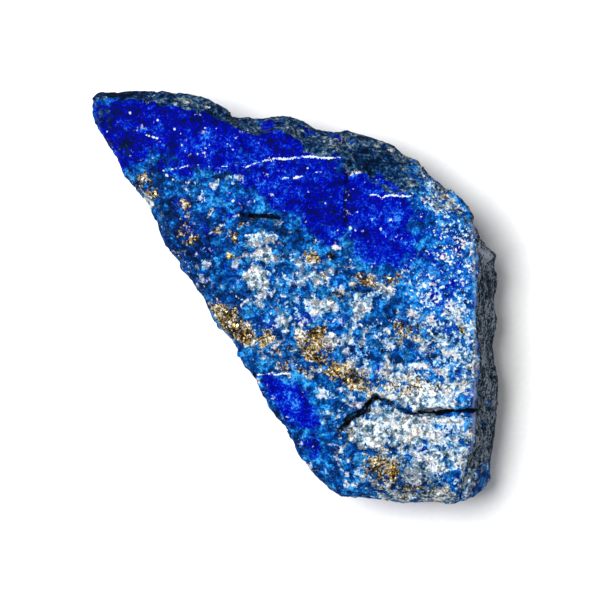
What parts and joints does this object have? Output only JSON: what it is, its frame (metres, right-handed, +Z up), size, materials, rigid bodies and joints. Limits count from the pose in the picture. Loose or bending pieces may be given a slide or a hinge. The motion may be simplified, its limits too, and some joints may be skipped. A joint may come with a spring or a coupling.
{
  "type": "rough lapis lazuli",
  "caption": "Broken wedge of raw lapis lazuli with a broad, hackly upper face, a pointed tip, a cracked lower slab and a small flat spot that it rests on.",
  "frame": {"origin": "middle of the stone's box in plan, on the surface that it rests on", "axes": "+Z up, out of the broad face; +X from the pointed tip towards the right wall; +Y from the bottom edge towards the top rim"},
  "size_m": [0.0492, 0.0498, 0.015],
  "materials": {
    "lapis_lazuli": "raw fracture surface: deep blue lazurite mottled with white calcite and gold pyrite grains, dull to slightly glassy"
  },
  "bodies": {
    "root": {"lapis_lazuli": "lapis_lazuli"}
  },
  "joints": []
}
